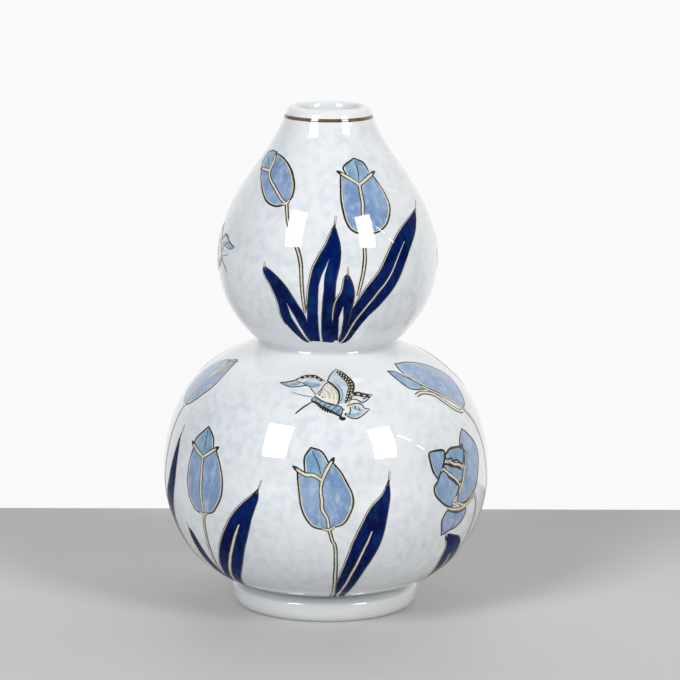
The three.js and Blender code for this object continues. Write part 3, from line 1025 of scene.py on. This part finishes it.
blown_petals = [
    ([(7, 35), (10, 43), (15, 51), (18, 59), (19, 69), (21, 78), (18, 87), (13, 93), (16, 100), (23, 108)],
     [(7, 35), (18, 32), (32, 35), (44, 42), (52, 49), (57, 62), (60, 74), (58, 85), (50, 94), (36, 102),
      (23, 108)]),
    ([(-32, 58), (-40, 66), (-45, 79), (-45, 84), (-42, 86)],
     [(-32, 58), (-27, 66), (-22, 74), (-20, 81), (-22, 87), (-42, 86)]),
    ([(-16, 77), (-19, 81), (-13, 86), (-6, 89), (11, 90), (19, 88)],
     [(-16, 77), (-8, 79), (-4, 76), (3, 77), (9, 74), (16, 73), (19, 82), (19, 88)]),
    ([(-25, 71), (-18, 73), (-8, 71), (0, 70), (8, 68), (16, 66)],
     [(-25, 71), (-20, 68), (-14, 64), (-6, 61), (2, 57), (10, 54), (15, 58), (16, 66)]),
    ([(-2, 29), (-13, 31), (-23, 35), (-33, 41), (-37, 49), (-32, 56), (-28, 63), (-24, 66)],
     [(-2, 29), (1, 35), (4, 40), (8, 46), (8, 51), (2, 53), (-3, 56), (-12, 59), (-18, 64), (-24, 66)]),
    ([(32, 27), (23, 24), (9, 23), (-7, 26), (-13, 19), (-13, 12), (-9, 5), (-6, -2)],
     [(32, 27), (33, 19), (28, 12), (18, 6), (7, 3), (-6, -2)]),
]
blown_creams = [
    [(-16, 77), (-8, 74.5), (-2, 72.5), (6, 72), (16, 69)],
    [(-27, 66), (-24, 68), (-19, 66), (-13, 63), (-5, 60), (2, 57), (9, 52)],
    [(19, 71), (18, 60), (15, 52), (9, 43)],
    [(5, 40), (0, 36), (0, 33), (6, 32), (9, 34)],
    [(8, 34), (24, 30), (39, 33), (50, 39)],
    [(-10, 28.5), (4, 26.5), (17, 27), (31, 29)],
]
blown_darks = [
    ([(9, 90), (17, 90), (16, 93)], 0.0024),
    ([(18, 87), (22, 85), (27, 82)], 0.0009),
]
side_petals = [
    ([(-28, 62), (-49, 79), (-39, 95), (-21, 107)],
     [(-28, 62), (-23, 72), (-20, 86), (-14, 99), (-21, 107)]),
    ([(-7, -1), (-13, 30), (-20, 57), (-19, 75), (-6, 92), (15, 101)],
     [(-7, -1), (15, -5), (38, 1), (60, 19), (57, 55), (38, 86), (15, 101)]),
]
side_creams = [
    [(-7, 2), (-16, 30), (-24, 52), (-27, 66)],
    [(-19, 60), (-19, 75), (-10, 90)],
]
side_curled = [
    [(-14, 1), (-20, 4), (-28, 16), (-30, 33), (-30, 46), (-34, 56), (-45, 66), (-60, 71)],
]

# %% All the tulips
# A heart and a stem are places on the vase. Lean, width and height are in degrees, pens in metres.
tulips = {
    "upper_tulip_left": {
        "heart": (-27, 65), "lean": -36, "width": 21, "height": 35,
        "stem": [(-21.5, 56.5), (-13.4, 42.7), (-11.2, 22.6)],
        "left": [(0, 0), (-14, 0), (-31, 6), (-45, 20), (-50, 41), (-51, 61), (-50, 76)],
        "right": [(0, 0), (10, 0), (25, 6), (39, 22), (44, 47), (35, 70), (18, 86)],
        "seam": [(0, 0), (-7, 12), (-13, 35), (-20, 54), (-17, 66)],
        "left_arm": [(-35, 74), (-54, 82)], "right_arm": [(2, 78), (15, 92)],
        "back": [(-47, 80), (-48, 92), (-28, 104), (0, 98), (12, 90)],
    },
    "upper_tulip_right": {
        "heart": (20, 54), "lean": 5, "width": 27, "height": 41,
        "stem": [(20.3, 47), (19.9, 41.3), (16.5, 29.5)],
        "left": [(2, 0), (-11, -1), (-25, 5), (-34, 19), (-38, 41), (-36, 58), (-34, 76)],
        "right": [(2, 0), (25, 0), (42, 5), (54, 14), (62, 30), (58, 44), (47, 60), (34, 75)],
        "seam": [(3, 1), (2, 24), (3, 36), (2, 50), (1, 63)],
        "left_arm": [(-16, 71), (-41, 81)], "right_arm": [(17, 71), (39, 82)],
        "back": [(-21, 76), (-27, 87), (-4, 100), (15, 94), (25, 80)],
    },
    "lower_tulip_front": {
        "heart": (1.5, 38), "lean": -12, "width": 19.5, "height": 28.5,
        "stem": [(3.3, 33.8), (4.5, 29.8), (4.9, 9.5), (3.5, 3)],
        "left": [(2, 0), (-10, 1), (-24, 6), (-33, 17), (-37, 32), (-36, 48), (-34, 63), (-31, 77)],
        "right": [(2, 0), (27, 2), (42, 11), (52, 23), (54, 35), (49, 48), (42, 64), (33, 77)],
        "seam": [(2, 1), (3, 12), (-2, 25), (0, 35), (1, 48), (7, 59)],
        "left_arm": [(-6, 67), (-20, 70), (-38, 82)], "right_arm": [(18, 69), (37, 83)],
        "back": [(-19, 70), (-14, 89), (0, 100), (18, 92), (26, 75)],
    },
    "lower_tulip_left": {
        "heart": (-47, 38.5), "lean": -3, "width": 17, "height": 29,
        "stem": [(-47.6, 34), (-48.5, 29), (-51, 18.4), (-51.5, 15)],
        "left": [(2, 0), (-22, 2), (-39, 16), (-46, 37), (-43, 56), (-34, 76)],
        "right": [(2, 0), (31, 4), (54, 20), (60, 39), (53, 57), (38, 77)],
        "seam": [(2, 1), (0, 25), (0, 45), (0, 67)],
        "left_arm": [(-20, 73.5), (-43, 83)], "right_arm": [(20, 74), (43, 82)],
        "back": [(-26, 76), (-32, 86), (-1, 104), (21, 92), (30, 77)],
    },
    "lower_tulip_far_left": {
        "heart": (-74, 69), "lean": 13, "width": 17, "height": 24,
        "stem": [(-75.7, 58.2), (-79, 36), (-82, 12)],
        "left": [(0, 0), (-20, 0), (-41, 8), (-60, 30), (-58, 57), (-38, 80), (-20, 90)],
        "right": [(0, 0), (20, 6), (39, 24), (50, 50), (36, 73), (14, 94)],
        "seam": [(0, 1), (3, 30), (4, 55)],
        "left_arm": [(-4, 75), (-20, 93)], "right_arm": [(7, 67), (6, 84), (10, 100)],
        "back": [(-13, 86), (-8, 97), (2, 100), (8, 94)],
    },
    "lower_tulip_high_right": {
        "heart": (70, 70), "lean": -36, "width": 20, "height": 27,
        "stem_top": (-5, 0), "stem": [(76, 60), (80, 40), (82, 14)], "rear": (), "pen": 0.001,
        "petals": side_petals, "creams": side_creams, "curled": side_curled, "darks": [],
    },
    "lower_tulip_right": {
        "heart": (49, 32), "lean": 8, "width": 28, "height": 34,
        "stem_top": (36, 34), "stem": [(64.5, 42.5), (69, 34), (72, 12)], "rear": (2, 3), "pen": 0.0012,
        "petals": blown_petals, "creams": blown_creams, "curled": [], "darks": blown_darks,
    },
}
for name, flower in tulips.items():
    paint = paint_opened_tulip if "petals" in flower else paint_closed_tulip
    paint_motif(name, flower["heart"][0], paint, [flower], [petal_wash, rear_petal_wash], "petal_enamel")

# %% [markdown]
# Leaves
#
# A leaf is one long stroke of a loaded brush each side of its rib, which stays
# open as a white gap in the lower half. It keeps its width most of the way and
# runs out to a point, a thin line edges it, and a dry flick of the brush goes
# on past the tip. A leaf could be an outline filled with colour, but a painter
# thinks of where the brush goes and how hard it is pressed, so each is given
# as places on the vase with the width there.


# %% Painting one leaf
leaf_edge, gap_edge = 0.0006, 0.0004
rim_width, rim_core, rim_shift = 0.0011, 0.0004, 0.0002
flick_width, flick_core = 0.001, 0.0006
least_half = 0.0001
overlap = 0.0002


def paint_leaf(sheet, leaf):
    stations = leaf["line"]
    places = np.array([sheet.spot(station) for station in stations])
    rib = through(places)
    steps = np.linalg.norm(np.diff(places, axis=0), axis=1)
    shares = np.concatenate([[0], np.cumsum(steps)]) / steps.sum()
    along = np.gradient(rib, axis=0)
    along /= np.linalg.norm(along, axis=1)[:, None]
    away = np.column_stack([-along[:, 1], along[:, 0]])
    where = np.linspace(0, 1, len(rib))
    widths = np.column_stack([shares, [station[2] * sheet.degree / 2 for station in stations]])
    half = through(widths, 0.002)
    half = np.maximum(np.interp(where, half[:, 0], half[:, 1]), least_half)[:, None]
    left, right = rib + away * half, rib - away * half

    top, gap_width, shift = leaf["gap"]
    openness = np.interp(where, [0, top * 0.3, top * 0.7, top], [0.35, 0.6, 1, 0])
    gap = np.where(where < top, gap_width / 2 * openness, -overlap)[:, None]
    gap = np.minimum(gap, half * 0.7)
    middle = rib + away * half * shift * np.interp(where, [0, 0.3, top, 1], [0, 1, 0.6, 0])[:, None]
    last = round(top * len(rib))
    if leaf.get("cream"):
        sheet.wash(left, right)
        sheet.cord(middle[:last], gap_width + cream_edge, gap_width, 0.7, 0.5)
    else:
        sheet.wash(left, middle + away * gap)
        sheet.wash(middle - away * gap, right)
        for turn in (gap, -gap):
            sheet.pen((middle + away * turn)[:last], gap_edge)
    apart = round(leaf.get("apart", 0) * len(rib))
    sheet.pen(right[apart:], leaf_edge)
    sheet.cord((left + away * rim_shift)[max(apart, len(rib) // 4):], rim_width, rim_core, 0.2, 0.3)

    flick = rib[-1] + np.outer(np.linspace(-2, leaf.get("flick", 3.6), 18) * 0.001, along[-1] + [0, 0.15])
    sheet.pen(flick, flick_width, line_tone, 0.9, 0.15)
    sheet.pen(flick[6:], flick_core, cream_tone, 0.5, 0.2)


# %% All the leaves
# Each station of a line is a place and a width in degrees. A gap is the share of the leaf where it
# closes, its width in metres and its shift, and a flick is in millimetres.
leaves = {
    "upper_leaves": [
        {"line": [(-10.5, 7, 2.5), (-13, 10, 7), (-18.2, 19.8, 12.4), (-22.3, 28.2, 9), (-26.5, 33.6, 7),
                  (-31.9, 38, 4), (-33.3, 40.3, 0)], "gap": (0.55, 0.0019, 0), "flick": 1.5, "apart": 0.3},
        {"line": [(8.8, 8, 5.2), (9, 24, 9.1), (11.3, 30.9, 6.8), (10.8, 36.3, 3.6), (10.9, 38.4, 0)],
         "gap": (0.58, 0.0022, 0), "flick": 3, "apart": 0.3},
        {"line": [(9.5, 7, 2), (11.9, 9.6, 5.6), (16.9, 19.9, 9.4), (25.3, 29, 12), (33.7, 36.5, 12.7),
                  (43.5, 47.6, 12.5), (54.6, 54.8, 8.8), (65.2, 60.6, 0)],
         "gap": (0.78, 0.0006, -0.1), "cream": True, "apart": 0.3},
        {"line": [(-3, 7.4, 9), (-3, 9.6, 14), (-2.7, 24.7, 14.2), (-1.5, 35.8, 13.2), (1.4, 43.4, 11.5),
                  (3.5, 49.2, 7.6), (4.7, 57.3, 0)], "gap": (0.73, 0.0025, 0.08), "apart": 0.3},
    ],
    "lower_leaf_front": [
        {"line": [(8, 3, 5), (7.6, 8, 5.7), (11.2, 20.7, 7.1), (15.7, 32.9, 9.2), (18.8, 42, 7.1),
                  (21.6, 47.6, 3), (22.7, 52.4, 0)],
         "gap": (0.68, 0.001, 0), "cream": True},
    ],
    "lower_leaf_left": [
        {"line": [(-52, 5, 6), (-45.6, 14.5, 7.8), (-39, 23.5, 9.2), (-32.7, 33.7, 8.4), (-29, 39.8, 6.6),
                  (-24.4, 46, 3), (-22.8, 49.3, 0)],
         "gap": (0.73, 0.0013, 0), "cream": True},
        {"line": [(-54, 8, 4), (-57.3, 22.4, 4.5), (-58.4, 29, 3), (-59.4, 31.5, 0)],
         "gap": (0.1, 0.0004, 0), "cream": True, "flick": 2},
    ],
    "lower_leaf_far_left": [
        {"line": [(-78, 6, 6), (-75.5, 31, 7), (-68.4, 44, 6), (-66, 53.6, 3), (-65.2, 60.5, 0)],
         "gap": (0.5, 0.001, 0), "cream": True},
    ],
    "lower_leaf_right": [
        {"line": [(64, 4, 4), (63.5, 14, 9), (60.5, 21.5, 11), (57.5, 26, 8.5), (54, 29, 4), (51.2, 30.7, 2),
                  (50.2, 31.4, 0)],
         "gap": (0.6, 0.0009, 0), "cream": True, "flick": 1},
    ],
}
for name, group in leaves.items():
    paint_motif(name, group[0]["line"][0][0], paint_leaf, group, [leaf_wash, leaf_wash], "leaf_enamel")

# %% [markdown]
# Butterflies
#
# Each butterfly has a long fore wing, a broad raised wing and two small tails,
# a cream fan where they meet, and a blue body with bristles under it. The dark
# bands along the wing edges carry cream dots at an even step, so a loop places
# them. Drawing each by hand would look livelier up close, but at this size the
# eye only reads the rhythm.

# %% The butterfly's lines
wings = [
    ([(-1, 59), (-11, 68), (-21, 75), (-32, 76), (-40, 74), (-50, 68), (-58, 60), (-73, 54), (-90, 50)],
     [(-20, 27), (-26, 36), (-33, 47), (-40, 48), (-50, 45), (-65, 42), (-76, 44), (-90, 50)]),
    ([(24, 4), (24, 13), (26, 27), (22, 41), (14, 51), (3, 61), (4, 66), (7, 77), (12, 86), (18, 96)],
     [(42, 4), (48, 17), (51, 32), (53, 46), (50, 59), (40, 74), (30, 86), (18, 96)]),
    ([(48, 30), (60, 32), (72, 27), (89, 23)],
     [(44, 14), (57, 15), (67, 8), (76, 10), (89, 23)]),
    ([(43, 3), (60, 6), (69, 2), (73, -5), (84, -8)],
     [(36, -17), (41, -20), (51, -25), (61, -25), (72, -19), (84, -8)]),
]
fan = ([(-22, 24), (-11, 15), (0, 9), (20, 3)],
       [(-22, 24), (-11, 37), (-1, 54), (6, 56), (17, 44), (24, 30), (24, 15), (20, 3)])
body = ([(-27, 16), (-20, 21), (-11, 14), (-1, 9), (11, 4), (23, 2), (32, -5), (30, -20)],
        [(-27, 16), (-26, 11), (-18, 8), (-8, 0), (4, -7), (16, -13), (25, -18), (30, -20)])
blue_marks = [
    ([(-44, 57), (-36, 53), (-25, 51), (-12, 50)], 12),
    ([(-84, 49), (-72, 47), (-60, 50), (-48, 55)], 9),
    ([(27, 8), (31, 24), (27, 42), (18, 56)], 5),
    ([(40, -15), (52, -19), (66, -16)], 9),
    ([(49, 0), (58, -6), (70, -10)], 7),
]
cream_marks = [
    ([(31, -10), (40, -8), (44, -13)], 12),
    ([(37, 5), (45, 9), (56, 12)], 9),
    ([(50, 19), (60, 17), (67, 13)], 5),
]
dark_marks = [
    ([(-89, 50), (-74, 54), (-60, 60), (-50, 68)], 4),
    ([(39, 1), (47, 4), (56, 7)], 2.5),
    ([(46, -1), (47, -10), (44, -18)], 3),
    ([(32, -6), (36, -7)], 3.5),
    ([(36, -15), (40, -16)], 4.5),
    ([(70, 16), (76, 15)], 3),
    ([(-62, 56), (-50, 56), (-42, 52), (-32, 47), (-18, 45)], 2.2),
    ([(24, 6), (25, 27), (21, 41), (13, 51), (3, 61)], 5),
    ([(-15, 27), (-10, 25)], 3.5),
    ([(-8, 22), (-4, 20)], 3.5),
    ([(55, 2), (57, -6)], 2),
    ([(62, -2), (65, -10)], 2),
    ([(26, -22), (32, -25), (38, -24)], 8),
    ([(-25, 20), (-41, 23), (-54, 26), (-64, 30)], 1.8),
    ([(-26, 10), (-37, 2), (-49, -8), (-58, -17)], 3.5),
]
# The wing, its edge, the share of the edge, then depth, dot, step and rows of dots.
dotted_bands = [
    (0, 0, 0.62, 7.8, 5.5, 8, 1),
    (1, 1, 0.95, 13.5, 4.3, 6.6, 2),
    (2, 0, 0.95, 9.5, 5.8, 9.5, 1),
]

# %% Painting one butterfly
fan_pivot = (-12, 22)
fan_rings = (0.3, 0.48, 0.55, 0.74, 0.9)
wing_edge, fan_edge, fan_dash = 2.7, 2.5, 2.2
back_edge, belly_edge, stripe, bristle = 3, 6, 1.8, 5
band_points, body_points = 60, 40


def paint_butterfly(sheet, fly):
    """Every place and width is given in percents of the butterfly's reach."""
    centre = sheet.spot(fly["place"])
    size = fly["reach"] * sheet.degree / 100
    stretch = np.array([size * fly["facing"], size])

    def line(points):
        return through([centre + np.array(point) * stretch for point in points], 0.0003)

    def draw(path, width, tone=line_tone, start=0.5, finish=0.5):
        sheet.pen(path, width * size, tone, start, finish)

    edges = [[line(edge) for edge in wing] for wing in wings]
    for wing in edges:
        sheet.wash(*wing)
        for edge in wing:
            draw(edge, wing_edge)
    for points, width in blue_marks:
        draw(line(points), width, back_tone)
    for wing, edge, until, depth, dot, step, rows in dotted_bands:
        outer, inner = (spaced(edges[wing][which], band_points) for which in (edge, 1 - edge))
        apart = np.maximum(np.linalg.norm(inner - outer, axis=1)[:, None], depth * size)
        across = (inner - outer) * depth * size / apart
        last = round(band_points * until)
        draw((outer + across / 2)[2:last - 3], depth)
        for row in range(rows):
            middle = (outer + across * (row + 0.75) / (rows + 0.5))[3:last - 4]
            for spot in spaced(middle, round(length_of(middle) / step / size)):
                reach = across[0] * 0.15 / rows
                draw(spaced([spot - reach, spot + reach], 3), dot, cream_tone, 1, 1)

    cream_edges = [line(edge) for edge in fan]
    sheet.wash(*cream_edges, accent_tone)
    pivot = centre + np.array(fan_pivot) * stretch
    for share in fan_rings:
        arc = pivot + (cream_edges[1][6:-6] - pivot) * share
        for i in range(0, len(arc) - 3, 4):
            draw(arc[i:i + 3], fan_dash)
    for edge in cream_edges:
        draw(edge, fan_edge)

    trunk = [line(edge) for edge in body]
    sheet.wash(*trunk, back_tone)
    draw(trunk[0], back_edge)
    draw(trunk[1], belly_edge)
    upper_edge, lower_edge = (spaced(edge, body_points) for edge in trunk)
    down = np.array([-0.25 * fly["facing"], -1]) * size
    for i in range(6, 38, 5):
        draw(spaced([upper_edge[i], lower_edge[i]], 6), stripe)
    for i in range(8, 39, 3):
        tip = lower_edge[i] + down * (4.5 + 2 * math.sin(2.3 * i))
        draw(spaced([lower_edge[i], tip], 4), bristle, start=1.2)
    for points, width in cream_marks:
        draw(line(points), width, accent_tone, 0.8, 0.8)
    for points, width in dark_marks:
        draw(line(points), width)


# %% Both butterflies
butterflies = {
    "upper_butterfly": {"place": (-76.5, 37), "reach": 21, "facing": -1},
    "lower_butterfly": {"place": (0.5, 76), "reach": 18, "facing": 1},
}
for name, fly in butterflies.items():
    washes = [wing_wash, body_wash, fan_wash]
    paint_motif(name, fly["place"][0], paint_butterfly, [fly], washes, "wing_enamel")

# %% [markdown]
# The brown line
#
# A line is drawn round the neck while the vase turns on the wheel, just under
# the lip. It is a thin, rounded hoop of the same kind as the clay rings, so the
# turning tree makes it too.

# %% The line under the lip
line_fall = 0.0012
line_rise = 0.0006
line_crown = 0.00012
line_step = 0.00015
on_neck, neck_outwards = upper.between(neck_height - line_fall, neck_height, line_step)
on_lip = [neck + heading(neck_slope) * rise for rise in np.linspace(line_step, line_rise, 4)]
line_top = np.vstack([on_neck, on_lip])
line_outwards = np.vstack([neck_outwards, [neck_outwards[-1]] * len(on_lip)])
crowned = np.sin(np.linspace(0, np.pi, len(line_top)))[:, None]
hoop = np.vstack([
    line_top + line_outwards * (line_crown * crowned - under),
    (line_top - line_outwards * 3 * under)[::-1],
])
rim = turned_piece("painted_rim_line", hoop, rim_brown)
finish_piece(rim, "rim_enamel", "rim_line")

# %% Clearing the guides away
for guide in guides.values():
    bpy.data.curves.remove(guide.data)
print("the guides are cleared away")

# %% [markdown]
# The stage
#
# The photograph was taken from a little above, with a long lens. Two square
# soft boxes, left and right of the camera and a little above it, show as the
# two pairs of bright windows in the glaze. A row of two thin tubes farther to
# the right makes two short glints, and a pale room lights the rest. The floor
# is plain and pale too.


# %% Camera
camera_distance = 1.492
camera_height = 0.4103
camera_pitch = 11.14
camera_pan = 0.12
camera_roll = -0.5
camera_turn = math.radians(0.7)
focal_pixels = 3494
frame_pixels = 680
sensor = 36.0

camera = new_object("camera", bpy.data.cameras.new("camera"))
camera.data.sensor_width = sensor
camera.data.lens = focal_pixels / frame_pixels * sensor
camera.data.clip_start = 0.05
camera.location = (
    camera_distance * math.sin(camera_turn), -camera_distance * math.cos(camera_turn), camera_height
)
camera.rotation_euler = (
    math.radians(90 - camera_pitch), math.radians(camera_roll), camera_turn - math.radians(camera_pan)
)
bpy.context.scene.camera = camera
print("the camera stands", camera_distance, "m away")

# %% Lights
middle = Vector((0, 0, lip_height / 2))
light_distance = 4
radiance = 15.0


def soft_box(name, azimuth, elevation, width, height, roll, colour):
    """A rectangular light, whose angles are seen from the vase, aimed at the vase."""
    turn, rise = camera_turn + math.radians(azimuth), math.radians(elevation)
    way = Vector((math.sin(turn) * math.cos(rise), -math.cos(turn) * math.cos(rise), math.sin(rise)))
    data = bpy.data.lights.new(name, "AREA")
    data.shape = "RECTANGLE"
    data.size = 2 * light_distance * math.tan(math.radians(width / 2))
    data.size_y = 2 * light_distance * math.tan(math.radians(height / 2))
    data.energy = radiance * math.pi * data.size * data.size_y
    data.color = colour
    lamp = new_object(name, data)
    lamp.location = middle + way * light_distance
    aim = way.to_track_quat("Z", "Y") @ Quaternion((0, 0, 1), math.radians(roll))
    lamp.rotation_euler = aim.to_euler()


cool, warm, white = (0.97, 0.985, 1.0), (1.0, 0.985, 0.955), (1.0, 1.0, 1.0)
soft_box("left_box", azimuth=-39.5, elevation=30.3, width=17.5, height=28.5, roll=5, colour=cool)
soft_box("right_box", azimuth=45.5, elevation=28, width=16.5, height=25.5, roll=-5, colour=warm)
soft_box("near_tube", azimuth=63.8, elevation=26.3, width=9.5, height=0.9, roll=-45, colour=white)
soft_box("far_tube", azimuth=74, elevation=15.5, width=6, height=0.9, roll=-45, colour=white)
print("four lights shine on the vase")

# %% Room and floor
wall_way = (0.2, 0.92, 0.3)
wall_edges = (0.2, 0.75)
room_front = (0.108, 0.112, 0.116, 1)
room_back = (0.95, 0.95, 0.95, 1)
floor_shades = (0.50, 0.49, 0.485, 1), (0.53, 0.52, 0.515, 1)
floor_reach = 6.0
floor_edge = 0.165
floor_skew = 0.2


def make_room():
    """A white wall far behind the vase and a dimmer room on the camera's side."""
    world = bpy.data.worlds.new("pale_room")
    world.use_nodes = True
    tree = world.node_tree
    way = add_node(tree, "TexCoord")["Generated"]
    back = add_node(tree, "VectorMath", {0: way, 1: wall_way}, operation="DOT_PRODUCT")["Value"]
    wall_share = spread(tree, back, *wall_edges)
    below_share = spread(tree, split(tree, way)["Z"], -0.05, 0.0, 0.35, 0.0)
    shade = blend_colours(tree, maths(tree, "MAXIMUM", wall_share, below_share), room_front, room_back)
    tree.links.new(shade, tree.nodes["Background"].inputs["Color"])
    bpy.context.scene.world = world


def make_floor():
    """A pale floor that ends in a slightly slanting edge behind the vase."""
    finish, tree, shader = new_finish("pale_floor", roughness=0.6, coat=0.0, gloss=0.5)
    colour = blend_colours(tree, noise(tree, object_place(tree), 8, 3), *floor_shades)
    tree.links.new(colour, shader.inputs["Base Color"])
    mesh = bpy.data.meshes.new("floor")
    corners = [
        (-floor_reach, -floor_reach, 0), (floor_reach, -floor_reach, 0),
        (floor_reach, floor_edge + floor_skew, 0), (-floor_reach, floor_edge - floor_skew, 0),
    ]
    mesh.from_pydata(corners, [], [(0, 1, 2, 3)])
    mesh.materials.append(finish)
    floor = new_object("floor", mesh)


make_room()
make_floor()
bpy.context.scene.view_settings.view_transform = "Standard"
print("the room and the floor are made")
